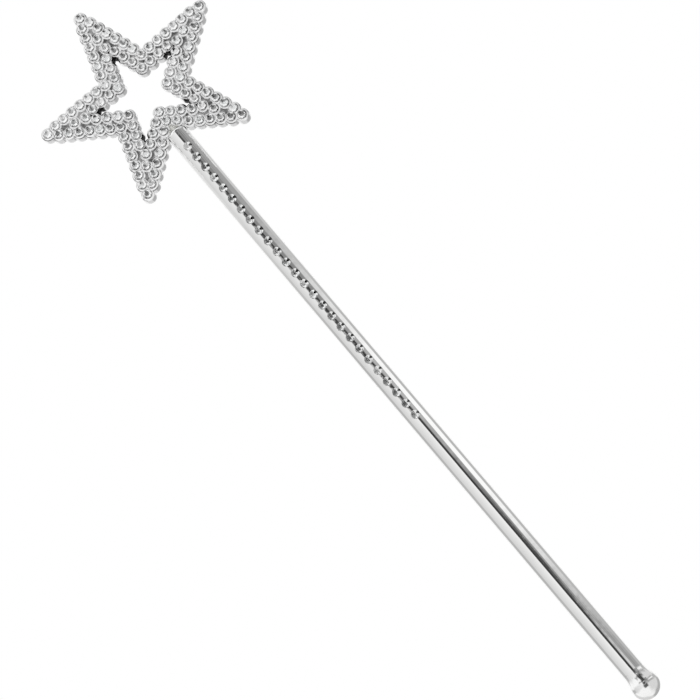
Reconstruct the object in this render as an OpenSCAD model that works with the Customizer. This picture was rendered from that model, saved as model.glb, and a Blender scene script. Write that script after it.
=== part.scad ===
// Fairy wand: a slim silver rod with a row of small stones down its front, an open
// five-pointed star covered in round stones at its top, and a ball at its lower end.
// Frame: +Z runs up the rod to the star, the star faces -Y, and the origin is on the
// rod's axis at the middle of the hand grip.

/* [Rod] */
// Diameter of the rod
rod_d = 8.2; // [7.8:0.1:8.5]
// Wall thickness of the hollow rod
rod_wall = 1.6; // [1.5:0.1:1.8]
// Rounding of the rod's upper edge
rod_rim = 1.4; // [0.6:0.1:1.4]
// Height of the star's centre above the middle of the grip
grip_to_star = 222; // [212:1:236]
// Distance from the star's centre to the centre of the end ball
star_to_ball = 288; // [278:1:300]
// Distance from the star's centre to the upper end of the rod
star_to_rod = 19.2; // [19:0.1:19.4]

/* [End ball] */
// Diameter of the ball
ball_d = 10.5; // [10.2:0.1:11.6]
// Distance from the ball's centre to where the rod starts to flare into it
flare_h = 6.3; // [6:0.1:7.5]
// Length of the ball's spigot inside the rod
spigot_l = 12; // [8:1:20]

/* [Star] */
// Distance from the star's centre to each tip stone
tip_r = 39; // [38:0.5:41]
// Distance from the star's centre to the stone in each outer valley
valley_r = 15.24; // [15.2:0.02:15.5]
// Distance from the star's centre to the stone at each inner corner of the window
window_r = 9.93; // [9.8:0.01:10.1]
// Thickness of the stone-carrying front, from the back cover to the cup rims
front_t = 3.6; // [3.4:0.1:4]
// Thickness of the flat back cover
cover_t = 1; // [0.8:0.1:1.2]
// Distance of the cup rims in front of the rod's axis
rim_y = 2.2; // [2:0.1:2.4]
// How far the three stones above the rod are moved in, to leave room for it
rod_room = 0.8; // [0.6:0.1:1]

/* [Stones] */
// Diameter of a stone in the star
stone_d = 3.4; // [3.2:0.05:3.45]
// Diameter of a stone in the rod
rod_stone_d = 3.2; // [2.8:0.05:3.3]
// Number of stones in the rod
rod_stone_n = 26; // [10:1:27]
// Distance from one rod stone to the next
rod_stone_pitch = 5.34; // [5:0.02:5.6]
// Distance from the star's centre to the first rod stone
rod_stone_start = 28; // [26:0.5:30]

/* [Hidden] */

$fn = 48;
silver = [0.82, 0.83, 0.85];
inner_plastic = [0.93, 0.93, 0.9];
clear_stone = [0.9, 0.94, 0.98];

// Past a face that is being cut.
past = 1;

arms = 5;
arm_turn = 360 / arms;
half_turn = arm_turn / 2;

// The arms' numbers, clockwise from the one that points straight up. The rod leaves
// from the valley between the lower two.
top = 0;
upper_right = 1;
lower_right = 2;
lower_left = 3;
upper_left = 4;
function arm_angle(arm) = 90 - arm * arm_turn;

function turned(p, a) = [p[0] * cos(a) - p[1] * sin(a), p[0] * sin(a) + p[1] * cos(a)];
function mirrored(p) = [p[0], -p[1]];

// Stone places on an arm that points along +X. The outer row runs from the shoulder,
// beside the tip stone, down to the valley. The inner row runs from the window's inner
// corner up towards the arm's spine.
outer_steps = 6;
shoulder = [tip_r - 3.75, 1.75];
valley = turned([valley_r, 0], half_turn);
corner = turned([window_r, 0], half_turn);
inner_step = [3.96, -1.286];
inner_steps = 3;
spine = [[23.5, 0], [28.1, 0]];

outer_side = [for (k = [0 : outer_steps - 1]) shoulder + (valley - shoulder) * k / outer_steps];
inner_side = [for (k = [1 : inner_steps]) corner + k * inner_step];
outer_places = concat([[tip_r, 0]], outer_side, [for (p = outer_side) mirrored(p)], [valley]);
inner_places = concat(spine, inner_side, [for (p = inner_side) mirrored(p)], [corner]);

// The three stones above the rod sit nearer the star's centre than their row would.
function above_rod(p) = abs(p[0]) < rod_d / 2 && p[1] < -(valley_r + window_r) / 2;
function settled(p) = above_rod(p) ? p + [0, rod_room] : p;
function on_arm(places, arm) = [for (p = places) settled(turned(p, arm_angle(arm)))];
all_places = [for (arm = [0 : arms - 1]) each on_arm(concat(outer_places, inner_places), arm)];

// Each stone sits in a cup on a post. A bezel slopes outwards from the cup's rim, and
// below the bezel the post widens only a little more.
post_top_r = 2;
bezel_r = 2.58;
bezel_h = 0.9;
post_base_r = 2.65;
cup_depth = 0.8;
cup_gap = 0.06;
cup_draft = 0.05;

// The web that fills the space between the posts, as tip and valley distances of its
// outer outline and of its window.
web_outline = [tip_r + 1.5, valley_r];
web_window = [tip_r - 18, window_r];
web_drop = 0.7;

// The channel behind the cups keeps the star light. The cover closes it.
channel_outline = [tip_r - 2.7, valley_r + 0.76];
channel_window = [tip_r - 14.4, window_r - 0.43];
channel_depth = 1.6;

// Locating pegs of the cover, one in each arm.
peg_place = tip_r - 13.2;
peg_r = 0.8;
peg_l = 1.2;
peg_gap = 0.05;
peg_end_gap = 0.2;
boss_r = 1.7;

// The star's back and the cover's two faces, behind the rod's axis.
cover_in = front_t - rim_y;
cover_out = cover_in + cover_t;

// The neck plug fills the rod's end, and its peg holds the star.
rod_r = rod_d / 2;
bore_r = rod_r - rod_wall;
rod_top = grip_to_star - star_to_rod;
plug_l = 16;
neck_peg_r = 1.1;
neck_peg_l = 9;
neck_block_w = 4.4;
notch_gap = 0.1;

// The fillet between rod and ball. It ends a little inside the ball, so that the two
// round faces cross in one clean edge.
flare_bite = 0.006;
ball_r = ball_d / 2;
ball_z = grip_to_star - star_to_ball;
rod_bottom = ball_z + flare_h;
flare_r = (rod_r * rod_r + flare_h * flare_h - ball_r * ball_r) / (2 * (ball_r - rod_r));
flare_centre = [rod_r + flare_r, flare_h];

// A stone is a short girdle under a crown that narrows to a flat table.
girdle_h = 0.5;
crown_h = 1;
table_share = 0.52;

// A rod stone's pocket, and the stone's seat in front of the rod's axis.
pocket_depth = 0.95;
pocket_gap = 0.05;
pocket_draft = 0.04;
rod_seat = rod_r - pocket_depth;

// Stands a shape drawn in the star's plan on the plane y, rising towards the front.
module in_star(y) {
    translate([0, y, grip_to_star]) rotate([90, 0, 0]) children();
}

module at_places(places) {
    for (p = places) translate([p[0], p[1], 0]) children();
}

module at_arms(distance) {
    for (arm = [0 : arms - 1]) rotate(arm_angle(arm)) translate([distance, 0, 0]) children();
}

// A star's outline, from the distances of its tips and of its valleys.
module star_outline(distances) {
    polygon([for (i = [0 : 2 * arms - 1]) turned([distances[i % 2], 0], 90 + i * half_turn)]);
}

module star_ring(outline, window, h) {
    linear_extrude(h) difference() {
        star_outline(outline);
        star_outline(window);
    }
}

// The notch in the star's lower valley that takes the rod's end.
module rod_notch() {
    notch_w = rod_d + 2 * notch_gap;
    translate([-notch_w / 2, -rim_y - past, rod_bottom])
        cube([notch_w, rim_y + cover_out + 2 * past, rod_top - rod_bottom]);
}

module neck_peg(r) {
    translate([0, 0, rod_top]) cylinder(r = r, h = neck_peg_l);
}

module stone(d) {
    cylinder(d = d, h = girdle_h);
    translate([0, 0, girdle_h]) cylinder(d1 = d, d2 = d * table_share, h = crown_h);
}

module posts() {
    at_places(all_places) {
        cylinder(r1 = post_base_r, r2 = bezel_r, h = front_t - bezel_h);
        translate([0, 0, front_t - bezel_h])
            cylinder(r1 = bezel_r, r2 = post_top_r, h = bezel_h);
    }
    star_ring(web_outline, web_window, front_t - web_drop);
}

module cups() {
    translate([0, 0, front_t - cup_depth]) at_places(all_places)
        cylinder(
            d1 = stone_d + 2 * cup_gap,
            d2 = stone_d + 2 * (cup_gap + cup_draft) * (cup_depth + past) / cup_depth,
            h = cup_depth + past);
}

module channel() {
    translate([0, 0, -past]) linear_extrude(channel_depth + past) difference() {
        star_outline(channel_outline);
        star_outline(channel_window);
        translate([-neck_block_w / 2, -channel_outline[1] - past])
            square([neck_block_w, channel_outline[1]]);
        at_arms(peg_place) circle(boss_r);
    }
}

module peg_sockets() {
    translate([0, 0, -past]) at_arms(peg_place)
        cylinder(r = peg_r + peg_gap, h = peg_l + peg_end_gap + past);
}

module star_front() {
    color(silver) difference() {
        in_star(cover_in) difference() {
            posts();
            cups();
            channel();
            peg_sockets();
        }
        rod_notch();
        neck_peg(neck_peg_r);
    }
}

module star_back() {
    color(silver) difference() {
        union() {
            in_star(cover_out) {
                at_places(all_places) cylinder(r = post_base_r, h = cover_t);
                star_ring(web_outline, web_window, cover_t);
            }
            in_star(cover_in) at_arms(peg_place) cylinder(r = peg_r, h = peg_l);
        }
        rod_notch();
    }
}

module neck_plug() {
    color(inner_plastic) {
        translate([0, 0, rod_top - plug_l]) cylinder(r = bore_r, h = plug_l);
        neck_peg(neck_peg_r);
    }
}

module rod() {
    color(silver) difference() {
        translate([0, 0, rod_bottom]) rotate_extrude() rod_wall_profile();
        for (i = [0 : rod_stone_n - 1])
            at_rod_stone(i) cylinder(
                d1 = rod_stone_d + 2 * pocket_gap,
                d2 = rod_stone_d + 2 * (pocket_gap + pocket_draft),
                h = pocket_depth + past);
    }
}

module rod_wall_profile() {
    length = rod_top - rod_bottom;
    translate([bore_r, 0]) square([rod_wall, length - rod_rim]);
    translate([bore_r, 0]) square([rod_wall - rod_rim, length]);
    translate([rod_r - rod_rim, length - rod_rim]) circle(rod_rim);
}

module at_rod_stone(i) {
    translate([0, -rod_seat, grip_to_star - rod_stone_start - i * rod_stone_pitch])
        rotate([90, 0, 0]) children();
}

module rod_stones() {
    color(clear_stone) for (i = [0 : rod_stone_n - 1]) at_rod_stone(i) stone(rod_stone_d);
}

module end_ball() {
    color(silver) translate([0, 0, ball_z]) rotate_extrude() {
        ball_profile();
        square([bore_r, flare_h + spigot_l]);
    }
}

module ball_profile() {
    intersection() {
        circle(ball_r);
        translate([0, -ball_r]) square([ball_r, 2 * ball_r]);
    }
    difference() {
        polygon([[0, 0], flare_centre, [0, flare_h]]);
        translate(flare_centre) circle(flare_r + flare_bite);
    }
}

module star_stones(places, arm) {
    color(clear_stone) in_star(cup_depth - rim_y) at_places(on_arm(places, arm)) stone(stone_d);
}

module top_outer_stones() { star_stones(outer_places, top); }
module top_inner_stones() { star_stones(inner_places, top); }
module upper_right_outer_stones() { star_stones(outer_places, upper_right); }
module upper_right_inner_stones() { star_stones(inner_places, upper_right); }
module lower_right_outer_stones() { star_stones(outer_places, lower_right); }
module lower_right_inner_stones() { star_stones(inner_places, lower_right); }
module lower_left_outer_stones() { star_stones(outer_places, lower_left); }
module lower_left_inner_stones() { star_stones(inner_places, lower_left); }
module upper_left_outer_stones() { star_stones(outer_places, upper_left); }
module upper_left_inner_stones() { star_stones(inner_places, upper_left); }

star_front();
star_back();
neck_plug();
rod();
end_ball();
rod_stones();
top_outer_stones();
top_inner_stones();
upper_right_outer_stones();
upper_right_inner_stones();
lower_right_outer_stones();
lower_right_inner_stones();
lower_left_outer_stones();
lower_left_inner_stones();
upper_left_outer_stones();
upper_left_inner_stones();
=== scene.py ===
import math

import bmesh
import bpy
from mathutils import Matrix, Vector


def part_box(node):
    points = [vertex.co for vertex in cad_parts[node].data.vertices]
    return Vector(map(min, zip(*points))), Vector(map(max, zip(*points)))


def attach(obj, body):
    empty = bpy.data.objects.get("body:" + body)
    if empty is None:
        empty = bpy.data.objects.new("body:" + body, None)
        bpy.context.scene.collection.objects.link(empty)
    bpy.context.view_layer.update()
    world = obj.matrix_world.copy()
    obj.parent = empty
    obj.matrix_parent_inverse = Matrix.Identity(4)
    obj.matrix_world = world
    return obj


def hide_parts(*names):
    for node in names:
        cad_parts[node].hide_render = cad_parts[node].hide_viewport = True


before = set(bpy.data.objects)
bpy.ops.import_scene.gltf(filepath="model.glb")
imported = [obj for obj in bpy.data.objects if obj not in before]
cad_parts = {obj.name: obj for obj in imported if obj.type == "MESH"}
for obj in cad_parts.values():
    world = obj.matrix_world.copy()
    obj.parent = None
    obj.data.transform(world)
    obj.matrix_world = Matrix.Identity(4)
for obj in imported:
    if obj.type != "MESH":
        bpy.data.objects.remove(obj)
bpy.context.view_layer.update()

# A silver fairy wand. Every length here is in millimetres and becomes metres through MM.
# The frame is the CAD model's: +Z up the rod to the star, the star faces -Y.
MM = 0.001
BODY = "root"
ARMS = 5
ARM_NAMES = ("top", "upper_right", "lower_right", "lower_left", "upper_left")

# How finely round shapes are drawn, and how sharp an edge is that isn't smoothed over.
POST_SIDES = 40
ROD_SIDES = 128
BALL_SIDES = 128
ROUND_STEPS = 6
SHARP_EDGE = math.radians(32)

# Past a face that is being cut.
PAST = 1.0

# Points closer than this, in metres, are one point, and angles, in radians, are equal.
SAME_POINT = 1e-6
SAME_ANGLE = 0.01

# A post of the moulded star: a stub, and on it a bezel that narrows up to the cup's rim.
POST_BASE_R = 2.65
POST_TOP_R = 2.0
BEZEL_R = 2.58
BEZEL_HEIGHT = 0.9
BEZEL_ROUND = 0.12
RIM_ROUND = 0.13
SEAM_CHAMFER = 0.09

# The cup in each post. Its floor is narrower than its mouth by the draft, and the cutter
# widens by the ease above the rim.
CUP_R = 1.715
CUP_LIP = 0.07
CUP_DEPTH = 0.8
CUP_DRAFT = 0.03
CUP_EASE = 0.01

# The web that joins the posts: how far its tips reach past the tip stones, how far from
# those the window's points stay, and how far its face lies behind the cup rims.
WEB_TIP_OUT = 1.5
WEB_WINDOW_IN = 18.0
WEB_DROP = 0.7

# The channel behind the cups. Its tips stay inside the tip stones and its valleys reach
# past the valley stones; its inner outline lies round the window.
CHANNEL_TIP_IN = 2.7
CHANNEL_VALLEY_OUT = 0.76
CHANNEL_WINDOW_IN = 14.4
CHANNEL_WINDOW_DROP = 0.43
CHANNEL_DEPTH = 1.6

# The back cover's pegs with their sockets and bosses, one of each in every arm, at a
# distance inside the tip stone.
PEG_IN = 13.2
PEG_R = 0.8
PEG_SOCKET_R = 0.85
PEG_LENGTH = 1.2
PEG_TIP_GAP = 0.2
BOSS_R = 1.7

# The star's hold on the rod, and the rounding of the cover's rear edge.
NECK_BLOCK_W = 4.4
NECK_PEG_R = 1.1
NOTCH_GAP = 0.1
COVER_ROUND = 0.35

# The rod's rounded end, and its pockets. Each pocket has a stretch of the rod to itself,
# which reaches this room above and below the stone's middle.
ROD_RIM = 1.4
POCKET_R = 1.66
POCKET_LIP = 0.1
POCKET_DRAFT = 0.04
POCKET_ROOM = 1.95

# The chamfer on the plug, on its peg and on the ball's spigot.
PLUG_CHAMFER = 0.4

# The materials of a stone's facets, by their place in its list of materials.
CLEAR = 0
FOILED = 1
# Facets painted near black: a painted dark reflection.
DARK_REFLECTION = 2

# The cut of a stone, in shares of its radius and of its height.
STONE_FACETS = 8
TABLE_SHARE = 0.54
WAIST_SHARE = 0.78
GIRDLE_LOW = 0.48
GIRDLE_HIGH = 0.58

# How far a culet strays from its place, and how far towards the painted dark side a facet
# lies that is painted near black as a painted dark reflection, in shares of the stone's radius.
CULET_STRAY = 0.09
DARK_REFLECTION_REACH = 0.46

# Each stone is turned by the golden angle from the one before it, and its culet strays
# in a direction that turns faster.
GOLDEN_TURN = 2.39996
STRAY_TURN = 2.7

# Where shade is painted near black into the star's silver: the half width, and the distances
# from the star's centre, of the window's sharp corners.
CORNER_HALF = 1.0
CORNER_FROM = 16.0
CORNER_TO = 21.8

# The dark patchy marks between the rod's stones: how far to the left of their row they lie,
# and how far they reach to each side.
ROW_MARK_LEFT = 0.25
ROW_MARK_HALF = 0.35

# How fine the noise in the materials is, in cells per metre.
HAZE_SCALE = 45.0
SPECK_SCALE = 1400.0
HAIRLINE_SCALE = 2600.0
RUB_SCALE = 700.0
WAVE_SCALE = 160.0
FOOT_SHADE_SCALE = 420.0
SEAM_GRIME_SCALE = 900.0
ROW_MARK_SCALE = 800.0
CLOUD_SCALE = 260.0
FACET_SCALE = 900.0
LACQUER_TONE_SCALE = 190.0
LACQUER_GRAIN_SCALE = 1500.0
FLOW_SCALE = 400.0
PLASTIC_GRAIN_SCALE = 2500.0
FLOOR_GRAIN_SCALE = 3.0

# The near black painted into the silver: painted shade on the star, and grime and dark marks on the rod.
SHADE_AND_GRIME = (0.02, 0.02, 0.02, 1)

# The photograph's camera.
SENSOR = 36.0
LENS = 155.2
CAMERA_AIM = (-3.0, 0.0, 95.4)
CAMERA_ELEVATION = math.radians(-14.4)
CAMERA_ROLL = math.radians(-40.28)
CAMERA_DISTANCE = 1097.0

# The elevations of the studio, in degrees, that the rod mirrors towards the camera.
ROD_SEES = (-2, 24)

# How coarse the ragged edges in the studio are, and how far they stray in radians.
RAGGED_SCALE = 4.0
RAGGED_TURN = 0.3
RAGGED_LIFT = 0.12

# Rays deeper than this have bounced more than once. They see the studio lightened by this
# share of the way to white, so that the insides of the stones stay bright.
DEEP_RAY = 2.5
DEEP_FILL = 0.72

# The floor: how far below the ball it lies, how wide it is, and how much light it adds.
FLOOR_DROP = 900.0
FLOOR_SIZE = 24000.0
FLOOR_GLOW = 0.35


# ---------------------------------------------------------------- places from the frame

def mm_box(node):
    low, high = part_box(node)
    return low / MM, high / MM


def islands(node):
    """The boxes, in millimetres, of the separate solids in a CAD node."""
    bm = bmesh.new()
    bm.from_mesh(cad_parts[node].data)
    bmesh.ops.remove_doubles(bm, verts=bm.verts, dist=SAME_POINT)
    waiting = set(bm.verts)
    boxes = []
    while waiting:
        group = [waiting.pop()]
        for vert in group:
            near = [e.other_vert(vert) for e in vert.link_edges]
            fresh = [v for v in near if v in waiting]
            waiting.difference_update(fresh)
            group.extend(fresh)
        low = Vector([min(v.co[i] for v in group) for i in range(3)]) / MM
        high = Vector([max(v.co[i] for v in group) for i in range(3)]) / MM
        boxes.append((low, high))
    bm.free()
    return sorted(boxes, key=lambda b: tuple(round(c, 3) for c in b[0]))


def facing_front(x, y, z):
    """Turns a shape drawn up +Z so that it rises from (x, y, z) towards the front, -Y."""
    return Matrix.Translation((x, y, z)) @ Matrix.Rotation(math.pi / 2, 4, "X")


STONE_NODES = ["rod_stones"]
for arm in ARM_NAMES:
    STONE_NODES += [arm + "_outer_stones", arm + "_inner_stones"]
STONE_BOXES = {node: islands(node) for node in STONE_NODES}
ROD_STONES = STONE_BOXES["rod_stones"]
STAR_STONES = [b for node in STONE_NODES[1:] for b in STONE_BOXES[node]]
STAR_PLACES = [((lo.x + hi.x) / 2, (lo.z + hi.z) / 2) for lo, hi in STAR_STONES]

front_low, front_high = mm_box("star_front")
back_high = mm_box("star_back")[1]
rod_low, rod_high = mm_box("rod")
ball_low, ball_high = mm_box("end_ball")
plug_low, plug_high = mm_box("neck_plug")

# The star's depths: the cup rims, the seam between front and cover, and the back.
RIM_Y = front_low.y
SEAM_Y = front_high.y
BACK_Y = back_high.y
FRONT_DEPTH = SEAM_Y - RIM_Y
COVER_DEPTH = BACK_Y - SEAM_Y

ROD_R = rod_high.x
ROD_TOP = rod_high.z
ROD_BOTTOM = rod_low.z
BORE_R = plug_high.x
BALL_R = ball_high.x
BALL_Z = ball_low.z + BALL_R

# The star's stones lie on its tips, in its outer valleys and at the window's corners, at
# these distances from its centre.
HALF_TURN = math.pi / ARMS
highest = max(z for x, z in STAR_PLACES)
lowest = min(z for x, z in STAR_PLACES)
TIP_R = (highest - lowest) / (1 + math.cos(HALF_TURN))
STAR_Z = highest - TIP_R
from_centre = sorted(math.hypot(x, z - STAR_Z) for x, z in STAR_PLACES)
WINDOW_R = from_centre[ARMS - 1]
VALLEY_R = max(math.hypot(x, z - STAR_Z) for x, z in STAR_PLACES
               if z > STAR_Z and abs(math.atan2(abs(x), z - STAR_Z) - HALF_TURN) < SAME_ANGLE)


# ---------------------------------------------------------------- mesh tools

def lathe(bm, profile, sides, place=Matrix.Identity(4)):
    """Turns (radius, height) points round +Z into a closed skin. Points on the axis close it."""
    rings = []
    for radius, height in profile:
        if radius == 0:
            rings.append([bm.verts.new((0, 0, height))])
            continue
        turn = [2 * math.pi * i / sides for i in range(sides)]
        rings.append([bm.verts.new((radius * math.cos(a), radius * math.sin(a), height)) for a in turn])
    if profile[0][0] > 0:
        rings.append(rings[0])
    made = [v for ring in rings for v in ring]
    for below, above in zip(rings, rings[1:]):
        for i in range(sides):
            j = (i + 1) % sides
            corners = (below[i % len(below)], below[j % len(below)],
                       above[j % len(above)], above[i % len(above)])
            bm.faces.new(list(dict.fromkeys(corners)))
    bmesh.ops.transform(bm, matrix=place, verts=list(dict.fromkeys(made)))


def prism(bm, outline, low, high, place=Matrix.Identity(4)):
    """Raises a plane outline from height low to height high."""
    bottom = [bm.verts.new((x, y, low)) for x, y in outline]
    top = [bm.verts.new((x, y, high)) for x, y in outline]
    bm.faces.new(bottom[::-1])
    bm.faces.new(top)
    for i in range(len(outline)):
        j = (i + 1) % len(outline)
        bm.faces.new((bottom[i], bottom[j], top[j], top[i]))
    bmesh.ops.transform(bm, matrix=place, verts=bottom + top)


def arc(centre, radius, start, end, steps=ROUND_STEPS):
    """Points of an arc in a lathe's profile, from angle start to angle end."""
    turn = [start + (end - start) * i / steps for i in range(steps + 1)]
    return [(centre[0] + radius * math.cos(a), centre[1] + radius * math.sin(a)) for a in turn]


def as_object(name, draw):
    """A new object from a function that draws into a bmesh, in millimetres."""
    bm = bmesh.new()
    draw(bm)
    bmesh.ops.recalc_face_normals(bm, faces=bm.faces)
    mesh = bpy.data.meshes.new(name)
    bm.to_mesh(mesh)
    bm.free()
    obj = bpy.data.objects.new(name, mesh)
    bpy.context.scene.collection.objects.link(obj)
    return obj


def combine(obj, other, operation):
    """Joins other into obj, or cuts it from obj, and removes other."""
    modifier = obj.modifiers.new(operation, "BOOLEAN")
    modifier.operation = operation
    modifier.solver = "MANIFOLD"
    modifier.object = other
    graph = bpy.context.evaluated_depsgraph_get()
    mesh = bpy.data.meshes.new_from_object(obj.evaluated_get(graph))
    obj.modifiers.clear()
    obj.data = mesh
    bpy.data.objects.remove(other)
    return obj


def join(obj, other):
    return combine(obj, other, "UNION")


def cut(obj, other):
    return combine(obj, other, "DIFFERENCE")


def union(objects):
    """One object from many that overlap, joined in pairs."""
    while len(objects) > 1:
        pairs = zip(objects[::2], objects[1::2])
        joined = [join(a, b) for a, b in pairs]
        objects = joined + objects[len(objects) - len(objects) % 2:]
    return objects[0]


def finish_piece(obj, name, node, materials):
    """Names a piece, scales it to metres, smooths it and ties it to the frame."""
    obj.name = name
    obj.data.name = name
    obj.data.transform(Matrix.Scale(MM, 4))
    obj.data.polygons.foreach_set("use_smooth", [True] * len(obj.data.polygons))
    obj.data.set_sharp_from_angle(angle=SHARP_EDGE)
    obj.data.materials.clear()
    for material in materials:
        obj.data.materials.append(material)
    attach(obj, BODY)
    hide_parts(node)
    return obj


# ---------------------------------------------------------------- shapes of the star

def star_outline(tip, valley):
    """A ten-cornered star in the plan, first tip up."""
    points = []
    for i in range(2 * ARMS):
        radius = valley if i % 2 else tip
        angle = math.pi / 2 + i * HALF_TURN
        points.append((radius * math.cos(angle), radius * math.sin(angle)))
    return points


def star_ring(name, outline, window, low, high, y):
    """The star's outline without its window, raised towards the front from the plane y."""
    place = facing_front(0, y, STAR_Z)
    ring = as_object(name, lambda bm: prism(bm, outline, low, high, place))
    hole = as_object("hole", lambda bm: prism(bm, window, low - PAST, high + PAST, place))
    return cut(ring, hole)


def web(depth, y):
    """The flat star that joins the posts, or the discs of the cover."""
    outline = star_outline(TIP_R + WEB_TIP_OUT, VALLEY_R)
    window = star_outline(TIP_R - WEB_WINDOW_IN, WINDOW_R)
    return star_ring("web", outline, window, 0, depth, y)


def peg_places():
    """One place on each arm's middle line."""
    distance = TIP_R - PEG_IN
    turns = [math.pi / 2 + 2 * HALF_TURN * i for i in range(ARMS)]
    return [(distance * math.cos(a), STAR_Z + distance * math.sin(a)) for a in turns]


def at_places(name, profile, places, y):
    """One object holding a turned shape at each place. The shapes don't touch each other."""
    def draw(bm):
        for x, z in places:
            lathe(bm, profile, POST_SIDES, facing_front(x, y, z))
    return as_object(name, draw)


def fused(profile, y):
    """A turned shape behind each of the star's stones, joined into one skin."""
    return union([at_places("turned", profile, [place], y) for place in STAR_PLACES])


def rod_notch():
    """Room for the rod's end in the star's lower valley."""
    half = ROD_R + NOTCH_GAP
    foot = ROD_TOP - 2 * TIP_R
    outline = [(-half, ROD_TOP), (-half, foot), (half, foot), (half, ROD_TOP)]
    depth = BACK_Y - RIM_Y + 2 * PAST
    place = facing_front(0, BACK_Y + PAST, 0)
    return as_object("notch", lambda bm: prism(bm, outline, 0, depth, place))


def post_profile():
    """A post: chamfered at the seam, nearly straight up to the bezel, and rounded where
    the bezel starts and at the cup's rim."""
    shoulder = FRONT_DEPTH - BEZEL_HEIGHT
    low = [(0, 0), (POST_BASE_R - SEAM_CHAMFER, 0), (POST_BASE_R, SEAM_CHAMFER)]
    slope = math.atan2(BEZEL_R - POST_TOP_R, BEZEL_HEIGHT)
    bend = arc((BEZEL_R - BEZEL_ROUND, shoulder - BEZEL_ROUND * math.tan(slope / 2)), BEZEL_ROUND, 0, slope)
    rim = arc((POST_TOP_R - RIM_ROUND, FRONT_DEPTH - RIM_ROUND), RIM_ROUND, slope, math.pi / 2)
    return low + bend + rim + [(0, FRONT_DEPTH)]


def cup_profile():
    """A cup as the cutter that makes it, with a rounded lip."""
    lip = CUP_R + CUP_LIP
    top = CUP_DEPTH + PAST
    round_lip = arc((lip, CUP_DEPTH - CUP_LIP), CUP_LIP, math.pi, math.pi / 2)
    return [(0, 0), (CUP_R - CUP_DRAFT, 0)] + round_lip + [(lip + CUP_EASE, top), (0, top)]


def cover_profile():
    """A disc of the back cover: its rear edge is rounded and its seam edge chamfered."""
    rear = arc((POST_BASE_R - COVER_ROUND, COVER_ROUND), COVER_ROUND, -math.pi / 2, 0)
    seam = [(POST_BASE_R, COVER_DEPTH - SEAM_CHAMFER), (POST_BASE_R - SEAM_CHAMFER, COVER_DEPTH)]
    return [(0, 0)] + rear + seam + [(0, COVER_DEPTH)]


def channel():
    """The hollow behind the cups, with the neck block and the peg bosses left standing."""
    valley = VALLEY_R + CHANNEL_VALLEY_OUT
    outline = star_outline(TIP_R - CHANNEL_TIP_IN, valley)
    window = star_outline(TIP_R - CHANNEL_WINDOW_IN, WINDOW_R - CHANNEL_WINDOW_DROP)
    hollow = star_ring("channel", outline, window, -PAST, CHANNEL_DEPTH, SEAM_Y)
    half = NECK_BLOCK_W / 2
    reach = valley + PAST
    low = -2 * PAST
    top = CHANNEL_DEPTH + PAST
    block = [(-half, -reach), (half, -reach), (half, -PAST), (-half, -PAST)]
    place = facing_front(0, SEAM_Y, STAR_Z)
    cut(hollow, as_object("block", lambda bm: prism(bm, block, low, top, place)))
    boss = [(0, low), (BOSS_R, low), (BOSS_R, top), (0, top)]
    return cut(hollow, at_places("bosses", boss, peg_places(), SEAM_Y))


def make_star_front(materials):
    star = fused(post_profile(), SEAM_Y)
    join(star, web(FRONT_DEPTH - WEB_DROP, SEAM_Y))
    cut(star, at_places("cups", cup_profile(), STAR_PLACES, RIM_Y + CUP_DEPTH))
    cut(star, channel())
    depth = PEG_LENGTH + PEG_TIP_GAP
    socket = [(0, -PAST), (PEG_SOCKET_R, -PAST), (PEG_SOCKET_R, depth), (0, depth)]
    cut(star, at_places("sockets", socket, peg_places(), SEAM_Y))
    cut(star, rod_notch())
    foot = ROD_TOP - PAST
    bore = [(0, foot), (NECK_PEG_R, foot), (NECK_PEG_R, plug_high.z), (0, plug_high.z)]
    cut(star, as_object("bore", lambda bm: lathe(bm, bore, POST_SIDES)))
    return finish_piece(star, "star_front_moulding", "star_front", materials)


def make_star_back(materials):
    cover = fused(cover_profile(), BACK_Y)
    join(cover, web(COVER_DEPTH, BACK_Y))
    tip = PEG_LENGTH + COVER_DEPTH
    shaft = [(0, COVER_ROUND), (PEG_R, COVER_ROUND), (PEG_R, tip - RIM_ROUND)]
    peg = shaft + [(PEG_R - RIM_ROUND, tip), (0, tip)]
    join(cover, at_places("pegs", peg, peg_places(), BACK_Y))
    cut(cover, rod_notch())
    return finish_piece(cover, "star_back_cover", "star_back", materials)


# ---------------------------------------------------------------- rod, ball and plug

def rod_rows():
    """Heights of the rod's rings: close together beside each stone, so that its pocket
    disturbs only its own stretch of the surface."""
    rows = []
    for low, high in ROD_STONES:
        middle = (low.z + high.z) / 2
        rows += [middle - POCKET_ROOM, middle + POCKET_ROOM]
    return sorted(rows)


def pocket_profile(seat):
    """A pocket as the cutter that makes it, from its floor, the seat, out past the rod's
    front, with a rounded lip."""
    lip_r = POCKET_R + POCKET_LIP
    edge = ROD_R - seat - POCKET_LIP
    lip = arc((lip_r, edge), POCKET_LIP, math.pi, math.pi / 2)
    return [(0, 0), (POCKET_R - POCKET_DRAFT, 0)] + lip + [(lip_r, edge + PAST), (0, edge + PAST)]


def make_rod(materials):
    outer = [(BORE_R, ROD_BOTTOM), (ROD_R, ROD_BOTTOM)] + [(ROD_R, z) for z in rod_rows()]
    rim = arc((ROD_R - ROD_RIM, ROD_TOP - ROD_RIM), ROD_RIM, 0, math.pi / 2, 2 * ROUND_STEPS)
    profile = outer + rim + [(BORE_R, ROD_TOP)]
    rod = as_object("rod", lambda bm: lathe(bm, profile, ROD_SIDES))
    seat = -ROD_STONES[0][1].y
    places = [((lo.x + hi.x) / 2, (lo.z + hi.z) / 2) for lo, hi in ROD_STONES]
    cut(rod, at_places("pockets", pocket_profile(seat), places, -seat))
    finish_piece(rod, "rod_tube", "rod", materials)
    round_off(rod.data, ROD_R * MM, (ROD_TOP - ROD_RIM) * MM)
    return rod


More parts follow.
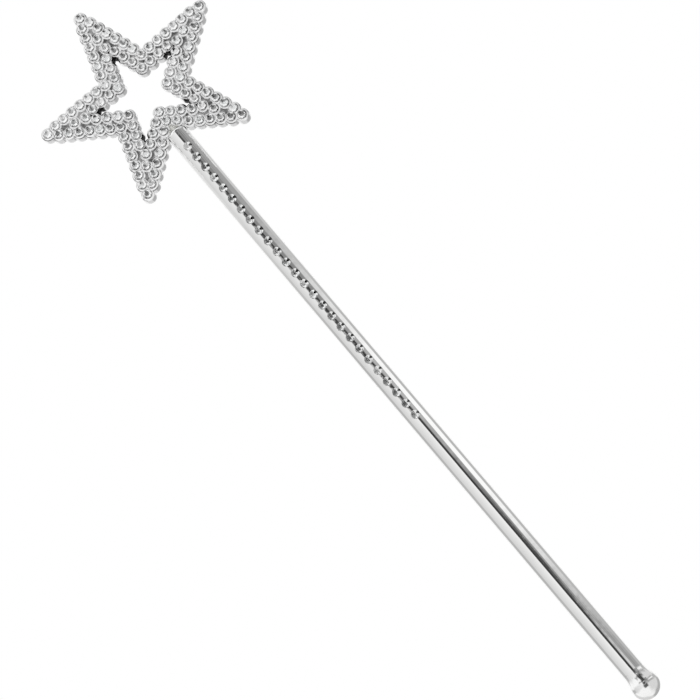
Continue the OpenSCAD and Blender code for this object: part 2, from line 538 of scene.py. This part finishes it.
def round_off(mesh, radius, top):
    """Gives the faces on the rod's straight outside the true round normals of a cylinder.
    The middle of a flat side lies inside the cylinder by the sagitta."""
    normals = [Vector((0, 0, 0))] * len(mesh.loops)
    sagitta = radius * (1 - math.cos(math.pi / ROD_SIDES))
    slack = 1.5 * sagitta
    for face in mesh.polygons:
        corners = [mesh.vertices[v].co for v in face.vertices]
        on_skin = all(abs(math.hypot(c.x, c.y) - radius) < slack for c in corners)
        if on_skin and all(c.z < top + SAME_POINT for c in corners):
            for loop, corner in zip(face.loop_indices, corners):
                normals[loop] = Vector((corner.x, corner.y, 0)).normalized()
    mesh.normals_split_custom_set(normals)


def ball_profile():
    """Ball, flare and spigot from the bottom up. The flare is an arc that leaves the rod
    straight down and meets the ball without a bend."""
    flare_top = ROD_BOTTOM - BALL_Z
    flare_r = (ROD_R ** 2 + flare_top ** 2 - BALL_R ** 2) / (2 * (BALL_R - ROD_R))
    centre = (ROD_R + flare_r, flare_top)
    meet = math.atan2(centre[1], centre[0])
    ball = arc((0, 0), BALL_R, -math.pi / 2, meet, 8 * ROUND_STEPS)
    flare = arc(centre, flare_r, math.pi + meet, math.pi, 3 * ROUND_STEPS)
    spigot_top = ball_high.z - BALL_Z
    spigot = [(BORE_R, flare_top), (BORE_R, spigot_top - PLUG_CHAMFER), (BORE_R - PLUG_CHAMFER, spigot_top)]
    return [(0, -BALL_R)] + ball[1:] + flare[1:] + spigot + [(0, spigot_top)]


def make_ball(materials):
    place = Matrix.Translation((0, 0, BALL_Z))
    ball = as_object("ball", lambda bm: lathe(bm, ball_profile(), BALL_SIDES, place))
    return finish_piece(ball, "end_ball_and_spigot", "end_ball", materials)


def make_plug(materials):
    low = plug_low.z
    top = plug_high.z
    foot = [(0, low), (BORE_R - PLUG_CHAMFER, low), (BORE_R, low + PLUG_CHAMFER)]
    neck = [(BORE_R, ROD_TOP), (NECK_PEG_R, ROD_TOP)]
    tip = [(NECK_PEG_R, top - PLUG_CHAMFER), (NECK_PEG_R - PLUG_CHAMFER, top), (0, top)]
    plug = as_object("plug", lambda bm: lathe(bm, foot + neck + tip, POST_SIDES))
    return finish_piece(plug, "neck_plug_and_peg", "neck_plug", materials)


# ---------------------------------------------------------------- stones

def ring(bm, count, radius, height, start, centre=(0, 0)):
    """A ring of vertices whose first one is at the angle start."""
    turn = [start + 2 * math.pi * i / count for i in range(count)]
    return [bm.verts.new((centre[0] + radius * math.cos(a),
                          centre[1] + radius * math.sin(a), height)) for a in turn]


def gem_rings(bm, radius, height, spin, look):
    """The corners of a cut stone: the culet at its foot, the two edges of the girdle, the
    waist where the crown's facets meet, and the table on top."""
    n = STONE_FACETS
    step = math.pi / n
    table_r = radius * TABLE_SHARE
    waist_r = radius * WAIST_SHARE
    high = height * GIRDLE_HIGH
    slope = (height - high) / (radius - table_r)
    waist_h = height - slope * (waist_r * math.cos(step) - table_r)
    foot = (look["shift"][0] * radius, look["shift"][1] * radius)
    culet = ring(bm, n, radius * look["culet"], 0, spin + step, foot)
    under = ring(bm, 2 * n, radius, height * GIRDLE_LOW, spin)
    over = ring(bm, 2 * n, radius, high, spin)
    waist = ring(bm, n, waist_r, waist_h, spin + step)
    table = ring(bm, n, table_r, height, spin)
    return culet, under, over, waist, table


def gem_faces(bm, culet, under, over, waist, table):
    """The facets between a stone's rings: the foiled ones, with the culet first, and the
    clear ones."""
    n = STONE_FACETS
    foiled = [bm.faces.new(culet[::-1])]
    clear = [bm.faces.new(table)]
    for i in range(n):
        j = (i + 1) % n
        a, b, c = 2 * i, 2 * i + 1, (2 * i + 2) % (2 * n)
        foiled.append(bm.faces.new((culet[i], culet[j], under[c])))
        foiled.append(bm.faces.new((culet[i], under[b], under[a])))
        foiled.append(bm.faces.new((culet[i], under[c], under[b])))
        clear.append(bm.faces.new((over[a], over[b], waist[i])))
        clear.append(bm.faces.new((over[b], over[c], waist[i])))
        clear.append(bm.faces.new((waist[i], over[c], waist[j], table[j])))
        clear.append(bm.faces.new((table[i], waist[i], table[j])))
        foiled.append(bm.faces.new((under[a], under[b], over[b], over[a])))
        foiled.append(bm.faces.new((under[b], under[c], over[c], over[b])))
    return foiled, clear


def gem(bm, diameter, height, spin, look, place):
    """A round cut stone: a clear crown, and below it the foiled girdle and back, whose
    facets run down to the culet. The culet, and the facets that lie far towards the look's
    painted_dark side, are painted near black: a painted dark reflection."""
    start = len(bm.verts)
    radius = diameter / 2
    foiled, clear = gem_faces(bm, *gem_rings(bm, radius, height, spin, look))
    for face in clear:
        face.material_index = CLEAR
    for face in foiled:
        centre = face.calc_center_median() / radius
        below = centre.z * radius < height * GIRDLE_LOW
        reach = centre.x * look["painted_dark"][0] + centre.y * look["painted_dark"][1]
        # These facets are painted near black: a painted dark reflection.
        painted_dark = face == foiled[0] or (below and reach > DARK_REFLECTION_REACH)
        face.material_index = DARK_REFLECTION if painted_dark else FOILED
    bm.verts.ensure_lookup_table()
    bmesh.ops.transform(bm, matrix=place, verts=bm.verts[start:])


def make_stones(node, culet, middle, painted_dark, materials):
    """The stones of one CAD node, each where its plain solid is. Every stone was dropped
    into its cup at another turn, and its culet, painted near black as a painted dark reflection,
    lies near the place given by middle. The materials are those of the clear, foiled and
    painted dark facets."""
    def draw(bm):
        for i, (low, high) in enumerate(STONE_BOXES[node]):
            place = facing_front((low.x + high.x) / 2, high.y, (low.z + high.z) / 2)
            spin = GOLDEN_TURN * i
            shift = (middle[0] + CULET_STRAY * math.cos(STRAY_TURN * spin),
                     middle[1] + CULET_STRAY * math.sin(STRAY_TURN * spin))
            look = {"culet": culet, "shift": shift, "painted_dark": painted_dark}
            gem(bm, high.x - low.x, high.y - low.y, spin, look, place)
    stones = as_object(node, draw)
    finish_piece(stones, node + "_cut", node, materials)
    stones.data.polygons.foreach_set("use_smooth", [False] * len(stones.data.polygons))
    return stones


# ---------------------------------------------------------------- materials

class Nodes:
    """Adds and links the nodes of one shader tree."""

    def __init__(self, tree):
        self.tree = tree
        tree.nodes.clear()

    def add(self, kind, settings=None, **inputs):
        """A new node. An input's name is written with _ for each space in it."""
        node = self.tree.nodes.new(kind)
        for name, value in (settings or {}).items():
            setattr(node, name, value)
        for name, value in inputs.items():
            self.put(node, name.replace("_", " "), value)
        return node

    def put(self, node, socket, value):
        """Links a socket to a node's input, or sets the input to a plain value."""
        target = node.inputs[socket]
        if isinstance(value, bpy.types.NodeSocket):
            self.tree.links.new(value, target)
        else:
            target.default_value = value

    def math(self, operation, *values):
        node = self.tree.nodes.new("ShaderNodeMath")
        node.operation = operation
        for i, value in enumerate(values):
            self.put(node, i, value)
        return node.outputs[0]

    def product(self, first, *others):
        for other in others:
            first = self.math("MULTIPLY", first, other)
        return first

    def split(self, vector):
        return self.add("ShaderNodeSeparateXYZ", Vector=vector).outputs

    def stretched(self, vector, scale):
        node = self.add("ShaderNodeVectorMath", {"operation": "MULTIPLY"})
        self.put(node, 0, vector)
        self.put(node, 1, scale)
        return node.outputs[0]

    def ramp(self, value, low, high, to_low, to_high, smooth=True):
        kind = "SMOOTHSTEP" if smooth else "LINEAR"
        node = self.add("ShaderNodeMapRange", {"interpolation_type": kind})
        for i, number in enumerate((value, low, high, to_low, to_high)):
            self.put(node, i, number)
        return node.outputs[0]

    def fade(self, value, start, end, top=1.0):
        """0 at start and top at end, both in millimetres. The start may be the larger."""
        return self.ramp(value, start * MM, end * MM, 0.0, top)

    def between(self, value, start, full, wane, end):
        """Rises from 0 at start to 1 at full, and falls again from wane to 0 at end."""
        return self.product(self.fade(value, start, full), self.fade(value, end, wane))

    def noise(self, vector, scale, detail=2.0):
        node = self.add("ShaderNodeTexNoise", Scale=scale, Detail=detail, Roughness=0.5)
        self.put(node, "Vector", vector)
        return node.outputs[0]

    def patches(self, vector, scale, low, high, to_low, to_high, detail=2.0):
        """Noise whose values from low to high are spread over to_low to to_high."""
        return self.ramp(self.noise(vector, scale, detail), low, high, to_low, to_high)

    def blend(self, share, first, second):
        """A number between first and second. A Mix node takes numbers in inputs 2 and 3."""
        node = self.add("ShaderNodeMix", {"data_type": "FLOAT"})
        for i, value in ((0, share), (2, first), (3, second)):
            self.put(node, i, value)
        return node.outputs[0]

    def mix(self, share, first, second):
        """A colour between first and second. A Mix node takes colours in inputs 6 and 7."""
        node = self.add("ShaderNodeMix", {"data_type": "RGBA"})
        for i, value in ((0, share), (6, first), (7, second)):
            self.put(node, i, value)
        return node.outputs[2]

    def bump(self, height, strength, distance):
        node = self.add("ShaderNodeBump", Strength=strength, Distance=distance)
        self.put(node, "Height", height)
        return node.outputs[0]


def new_material(name):
    """A material with its nodes, its shader, and the place on the object."""
    material = bpy.data.materials.new(name)
    material.use_nodes = True
    nodes = Nodes(material.node_tree)
    shader = nodes.add("ShaderNodeBsdfPrincipled")
    output = nodes.add("ShaderNodeOutputMaterial")
    nodes.put(output, "Surface", shader.outputs[0])
    place = nodes.add("ShaderNodeTexCoord").outputs["Object"]
    return material, nodes, shader, place


def silver(name, colour, worn_colour, gloss, ripple, worn_mask, dark_mask):
    """Metallised plastic: mirror bright with faint moulding waves, hairline marks and haze
    from handling. Its roughness lies between the two values of gloss. worn_mask says where
    it is rubbed, and dark_mask where near black is painted in: painted shade on the star,
    and grime and dark marks on the rod."""
    material, nodes, shader, place = new_material(name)
    haze = nodes.patches(place, HAZE_SCALE, 0.42, 0.68, 0.0, 1.0, 3.0)
    specks = nodes.patches(place, SPECK_SCALE, 0.66, 0.74, 0.0, 1.0, 1.0)
    rubbed = nodes.patches(place, RUB_SCALE, 0.35, 0.6, 0.25, 1.0, 3.0)
    worn = nodes.product(worn_mask(nodes, place), rubbed)
    dark = dark_mask(nodes, place)
    base = nodes.mix(nodes.product(haze, 0.12), colour, worn_colour)
    base = nodes.mix(nodes.product(worn, 0.8), base, worn_colour)
    # Near black mixed in by dark_mask: painted shade on the star, grime and dark marks on the rod.
    nodes.put(shader, "Base Color", nodes.mix(dark, base, SHADE_AND_GRIME))
    shader.inputs["Metallic"].default_value = 1.0
    rough = nodes.ramp(haze, 0.0, 1.0, gloss[0], gloss[1], smooth=False)
    for mask, rougher in ((dark, 0.3), (specks, 0.1), (worn, 0.16)):
        rough = nodes.math("ADD", rough, nodes.product(mask, rougher))
    nodes.put(shader, "Roughness", rough)
    waves = nodes.bump(nodes.noise(place, WAVE_SCALE), 0.25, ripple)
    fine = nodes.add("ShaderNodeBump", Strength=0.06, Distance=0.02 * MM, Normal=waves)
    along_rod = nodes.stretched(place, (1.0, 1.0, 0.03))
    nodes.put(fine, "Height", nodes.noise(along_rod, HAIRLINE_SCALE))
    nodes.put(shader, "Normal", fine.outputs[0])
    return material


def star_wear(nodes, place):
    """The crests of the cup rims are rubbed."""
    y = nodes.split(place)[1]
    return nodes.fade(y, RIM_Y + 0.12, RIM_Y + 0.01, 0.8)


def star_painted_shade(nodes, place):
    """Painted shade: darker, in patches, at the foot of the bezels, and near black deep in the
    window's sharp corners, one on the middle line of each arm."""
    x, y, z = nodes.split(place)
    # Painted shade: the foot of the bezels, deep between the posts, is darkened in patches.
    foot = nodes.between(y, RIM_Y + 0.42, RIM_Y + 0.68, RIM_Y + 0.85, RIM_Y + 1.15)
    foot_shade = nodes.product(foot, nodes.patches(place, FOOT_SHADE_SCALE, 0.36, 0.64, 0.1, 0.8))
    up = nodes.math("SUBTRACT", z, STAR_Z * MM)
    turn = nodes.math("PINGPONG", nodes.math("ARCTAN2", x, up), HALF_TURN)
    squares = nodes.math("ADD", nodes.product(x, x), nodes.product(up, up))
    reach = nodes.math("SQRT", squares)
    side = nodes.product(reach, nodes.math("SINE", turn))
    along = nodes.product(reach, nodes.math("COSINE", turn))
    corner = nodes.product(nodes.fade(side, CORNER_HALF + 0.5, CORNER_HALF),
                           nodes.between(along, CORNER_FROM - 0.6, CORNER_FROM, CORNER_TO, CORNER_TO + 0.5),
                           nodes.between(y, RIM_Y + 0.05, RIM_Y + 0.25, SEAM_Y, BACK_Y - 0.3))
    return nodes.math("MAXIMUM", foot_shade, corner)


def rod_dark(nodes, place):
    """Grime in the seam between the rod and the ball's flare, and dark patchy marks along the
    row between the stones."""
    x, y, z = nodes.split(place)
    off_seam = nodes.math("ABSOLUTE", nodes.math("SUBTRACT", z, ROD_BOTTOM * MM))
    seam = nodes.product(nodes.fade(off_seam, 0.1, 0.02, 0.35),
                         nodes.patches(place, SEAM_GRIME_SCALE, 0.4, 0.6, 0.1, 1.0))
    last = ROD_STONES[0][0].z
    first = ROD_STONES[-1][1].z
    aside = nodes.math("ABSOLUTE", nodes.math("ADD", x, ROW_MARK_LEFT * MM))
    row_marks = nodes.product(nodes.between(z, last, last + 0.3, first - 0.3, first),
                         nodes.fade(aside, 2 * ROW_MARK_HALF, ROW_MARK_HALF),
                         nodes.math("LESS_THAN", y, 0.0),
                         nodes.patches(place, ROW_MARK_SCALE, 0.35, 0.6, 0.35, 0.9))
    return nodes.math("MAXIMUM", seam, row_marks)


def rod_wear(nodes, place):
    """The rod is rubbed at its rounded end, and the ball on its lower half."""
    z = nodes.split(place)[2]
    top = nodes.fade(z, ROD_TOP - 0.8, ROD_TOP, 0.5)
    foot = nodes.fade(z, BALL_Z - 1.0, BALL_Z - BALL_R, 0.5)
    return nodes.math("ADD", top, foot)


def clear_glass(name, tint):
    """Clear cut acrylic, with the slight unevenness of moulded facets."""
    material, nodes, shader, place = new_material(name)
    cloud = nodes.noise(place, CLOUD_SCALE)
    tinted = nodes.ramp(cloud, 0.4, 0.65, 0.0, 1.0)
    nodes.put(shader, "Base Color", nodes.mix(tinted, (1, 1, 1, 1), tint))
    nodes.put(shader, "Roughness", nodes.ramp(cloud, 0.35, 0.7, 0.0, 0.05))
    shader.inputs["Transmission Weight"].default_value = 1.0
    shader.inputs["IOR"].default_value = 1.52
    uneven = nodes.noise(place, FACET_SCALE, 1.0)
    nodes.put(shader, "Normal", nodes.bump(uneven, 0.1, 0.02 * MM))
    return material


def foil(name, colour, second):
    """The pearly silver lacquer behind a stone, slightly uneven from stone to stone."""
    material, nodes, shader, place = new_material(name)
    tone = nodes.patches(place, LACQUER_TONE_SCALE, 0.35, 0.65, 0.0, 1.0, 1.0)
    nodes.put(shader, "Base Color", nodes.mix(tone, colour, second))
    shader.inputs["Metallic"].default_value = 0.3
    nodes.put(shader, "Roughness", nodes.patches(place, LACQUER_GRAIN_SCALE, 0.4, 0.7, 0.22, 0.36))
    return material


def moulded_plastic(name, colour, second):
    """Satin plastic with faint flow marks along the rod."""
    material, nodes, shader, place = new_material(name)
    flow = nodes.noise(nodes.stretched(place, (1.0, 1.0, 0.2)), FLOW_SCALE, 3.0)
    nodes.put(shader, "Base Color", nodes.mix(nodes.ramp(flow, 0.35, 0.7, 0.0, 1.0), colour, second))
    nodes.put(shader, "Roughness", nodes.ramp(flow, 0.3, 0.7, 0.38, 0.52))
    grain = nodes.noise(place, PLASTIC_GRAIN_SCALE)
    nodes.put(shader, "Normal", nodes.bump(grain, 0.15, 0.03 * MM))
    return material


# ---------------------------------------------------------------- studio

class Studio:
    """The brightness of the studio in every direction. Azimuth 0 is the front, -Y, and
    grows towards +X. A panel covers what was painted there before it."""

    def __init__(self, nodes):
        self.nodes = nodes
        towards = nodes.add("ShaderNodeTexCoord").outputs["Generated"]
        x, y, z = nodes.split(towards)
        self.azimuth = nodes.math("ARCTAN2", x, nodes.product(y, -1.0))
        self.elevation = nodes.math("ARCSINE", z)
        self.to_a_side = nodes.math("ABSOLUTE", self.azimuth)
        self.ragged_azimuth = self.ragged(self.azimuth, towards, RAGGED_TURN)
        mirrored = nodes.stretched(towards, (-1, 1, 1))
        self.ragged_elevation = self.ragged(self.elevation, mirrored, RAGGED_LIFT)
        self.level = 1.0

    def ragged(self, angle, towards, reach):
        """The angle, strayed by up to reach from place to place."""
        noise = self.nodes.noise(towards, RAGGED_SCALE)
        stray = self.nodes.ramp(noise, 0.3, 0.7, -reach, reach, smooth=False)
        return self.nodes.math("ADD", angle, stray)

    def band(self, angle, limits, edge):
        """1 between two limits in degrees, with soft edges, and 0 outside."""
        low, high = (math.radians(limit) for limit in limits)
        soft = math.radians(edge)
        rise = self.nodes.ramp(angle, low - soft, low + soft, 0.0, 1.0)
        fall = self.nodes.ramp(angle, high - soft, high + soft, 1.0, 0.0)
        return self.nodes.product(rise, fall)

    def paint(self, brightness, turn, height):
        """Paints the directions in which turn and height are both 1."""
        self.level = self.nodes.blend(self.nodes.product(turn, height), self.level, brightness)

    def panel(self, brightness, az, el, edge=4.0):
        self.paint(brightness, self.band(self.azimuth, az, edge), self.band(self.elevation, el, edge))

    def panel_on_both_sides(self, brightness, az, el, edge=4.0):
        self.paint(brightness, self.band(self.to_a_side, az, edge), self.band(self.elevation, el, edge))

    def ragged_panel(self, brightness, az, el, edge=3.0):
        self.paint(brightness, self.band(self.ragged_azimuth, az, edge),
                   self.band(self.ragged_elevation, el, edge))


def side_boxes(studio):
    """A broad soft box to the right, and one to the left that brightens to the front."""
    azimuth = studio.azimuth
    left = studio.nodes.ramp(azimuth, math.radians(-90), math.radians(-20), 0.7, 0.88, smooth=False)
    studio.panel(0.72, az=(20, 150), el=(-70, 60), edge=22.0)
    studio.panel(left, az=(-98, -14), el=(-10, 26), edge=8.0)


def right_strips(studio):
    """The grey and bright strips to the right, which the rod draws out into long lines.
    Their heights set where along the rod a line begins and ends."""
    studio.panel(0.36, az=(20, 96), el=ROD_SEES, edge=6.0)
    studio.panel(1.05, az=(48, 97), el=(8.8, 15.8), edge=2.6)
    studio.panel(0.3, az=(52, 64), el=(3, 7.6), edge=1.6)
    studio.panel(0.26, az=(12, 40), el=ROD_SEES, edge=3.0)
    studio.panel(0.5, az=(18, 44), el=(11.8, 14.6), edge=1.2)
    studio.panel(0.7, az=(16, 38), el=(3, 7.4), edge=1.6)


def rear_boxes(studio):
    """What lies beside and behind the wand."""
    studio.panel_on_both_sides(0.5, az=(96, 140), el=(0, 18))
    studio.panel_on_both_sides(1.0, az=(140, 200), el=(4, 60))
    studio.panel(0.7, az=(-200, -120), el=(-60, 2))
    studio.panel(0.45, az=(120, 200), el=(-60, 2))


def camera_gap(studio):
    """The dark gap in front, where the camera stands, with a wider place in its middle."""
    studio.panel(0.05, az=(-8, 13), el=(2, 20.8), edge=1.5)
    studio.panel(0.06, az=(8, 30), el=(8.0, 10.4), edge=1.5)


def things_in_the_room(studio):
    """The camera's stand below the gap, and dark things above it, which the ball mirrors
    as a cluster of dark marks."""
    studio.panel(0.1, az=(-16, 22), el=(-26, 0), edge=3.0)
    studio.ragged_panel(0.05, az=(-6, 30), el=(25, 60))
    studio.ragged_panel(0.2, az=(-46, -8), el=(27, 37))
    studio.ragged_panel(0.08, az=(20, 52), el=(25, 33))


def above_and_behind(studio):
    """A lamp overhead, and a dark strip straight behind that outlines the rod."""
    studio.panel(1.15, az=(-200, 200), el=(64, 120), edge=6.0)
    studio.panel_on_both_sides(0.06, az=(171, 200), el=ROD_SEES, edge=3.0)


def background(nodes, colour):
    shader = nodes.add("ShaderNodeBackground")
    nodes.put(shader, "Color", colour)
    return shader.outputs[0]


def studio_world():
    """A white studio with soft boxes round the wand. The camera itself sees plain white,
    and the insides of the stones see the studio without the things in the room, lightened."""
    world = bpy.data.worlds.new("studio")
    world.use_nodes = True
    bpy.context.scene.world = world
    nodes = Nodes(world.node_tree)
    studio = Studio(nodes)
    side_boxes(studio)
    right_strips(studio)
    rear_boxes(studio)
    camera_gap(studio)
    fill = nodes.math("ADD", nodes.product(studio.level, 1.0 - DEEP_FILL), DEEP_FILL)
    things_in_the_room(studio)
    above_and_behind(studio)
    path = nodes.add("ShaderNodeLightPath")
    deep = nodes.math("GREATER_THAN", path.outputs["Ray Depth"], DEEP_RAY)
    choose = nodes.add("ShaderNodeMixShader")
    nodes.put(choose, 0, path.outputs["Is Camera Ray"])
    nodes.put(choose, 1, background(nodes, nodes.blend(deep, studio.level, fill)))
    nodes.put(choose, 2, background(nodes, (1, 1, 1, 1)))
    nodes.put(nodes.add("ShaderNodeOutputWorld"), "Surface", choose.outputs[0])


def pale_floor():
    """A plain pale floor under the wand. Mirrors see the studio and not the floor."""
    material, nodes, shader, place = new_material("pale_floor")
    grain = nodes.patches(place, FLOOR_GRAIN_SCALE, 0.3, 0.7, 0.0, 1.0, 3.0)
    nodes.put(shader, "Base Color", nodes.mix(grain, (0.9, 0.9, 0.9, 1), (0.92, 0.92, 0.92, 1)))
    shader.inputs["Roughness"].default_value = 0.9
    shader.inputs["Emission Color"].default_value = (1, 1, 1, 1)
    shader.inputs["Emission Strength"].default_value = FLOOR_GLOW
    half = FLOOR_SIZE / 2
    corners = [(-half, -half), (half, -half), (half, half), (-half, half)]
    top = BALL_Z - BALL_R - FLOOR_DROP
    floor = as_object("floor", lambda bm: prism(bm, corners, top - PAST, top))
    floor.data.transform(Matrix.Scale(MM, 4))
    floor.data.materials.append(material)
    floor.visible_glossy = False
    floor.visible_transmission = False


def photograph_camera():
    """The camera looks up at the wand from below and in front, and is rolled, so that the
    wand lies across the picture."""
    back = Vector((0, -math.cos(CAMERA_ELEVATION), math.sin(CAMERA_ELEVATION)))
    right = Vector((1, 0, 0))
    up = back.cross(right)
    c, s = math.cos(CAMERA_ROLL), math.sin(CAMERA_ROLL)
    side = right * c + up * s
    top = up * c - right * s
    data = bpy.data.cameras.new("photograph")
    data.lens = LENS
    data.sensor_width = SENSOR
    camera = bpy.data.objects.new("photograph", data)
    place = Vector(CAMERA_AIM) * MM + back * CAMERA_DISTANCE * MM
    turn = Matrix((side, top, back)).transposed().to_4x4()
    camera.matrix_world = Matrix.Translation(place) @ turn
    bpy.context.scene.collection.objects.link(camera)
    bpy.context.scene.camera = camera


photograph_camera()
studio_world()
pale_floor()
bpy.context.scene.view_settings.view_transform = "Standard"

star_silver = silver("star_silver", colour=(0.93, 0.93, 0.932, 1), worn_colour=(0.95, 0.95, 0.95, 1),
                     gloss=(0.14, 0.24), ripple=0.2 * MM, worn_mask=star_wear, dark_mask=star_painted_shade)
rod_silver = silver("rod_silver", colour=(0.93, 0.93, 0.925, 1), worn_colour=(0.7, 0.7, 0.69, 1),
                    gloss=(0.03, 0.07), ripple=0.1 * MM, worn_mask=rod_wear, dark_mask=rod_dark)
ball_silver = silver("ball_silver", colour=(0.93, 0.93, 0.925, 1), worn_colour=(0.88, 0.88, 0.87, 1),
                     gloss=(0.14, 0.2), ripple=0.1 * MM, worn_mask=rod_wear, dark_mask=rod_dark)
stone_clear = clear_glass("stone_clear", tint=(0.97, 0.98, 0.98, 1))
stone_foil = foil("stone_foil", colour=(0.98, 0.98, 0.98, 1), second=(0.96, 0.95, 0.92, 1))
# Near black for the stones' culets and far facets: painted dark reflections.
stone_dark_reflection = moulded_plastic("stone_dark_reflection", colour=(0.03, 0.03, 0.032, 1), second=(0.07, 0.07, 0.07, 1))
plug_white = moulded_plastic("plug_white", colour=(0.9, 0.9, 0.87, 1), second=(0.84, 0.84, 0.8, 1))

make_star_front([star_silver])
make_star_back([star_silver])
make_rod([rod_silver])
make_ball([ball_silver])
make_plug([plug_white])
stone_looks = [stone_clear, stone_foil, stone_dark_reflection]
make_stones("rod_stones", culet=0.26, middle=(0.5, 0.12), painted_dark=(-1, -0.2), materials=stone_looks)
for stone_node in STONE_NODES[1:]:
    make_stones(stone_node, culet=0.27, middle=(-0.06, 0.42), painted_dark=(0, 0), materials=stone_looks)
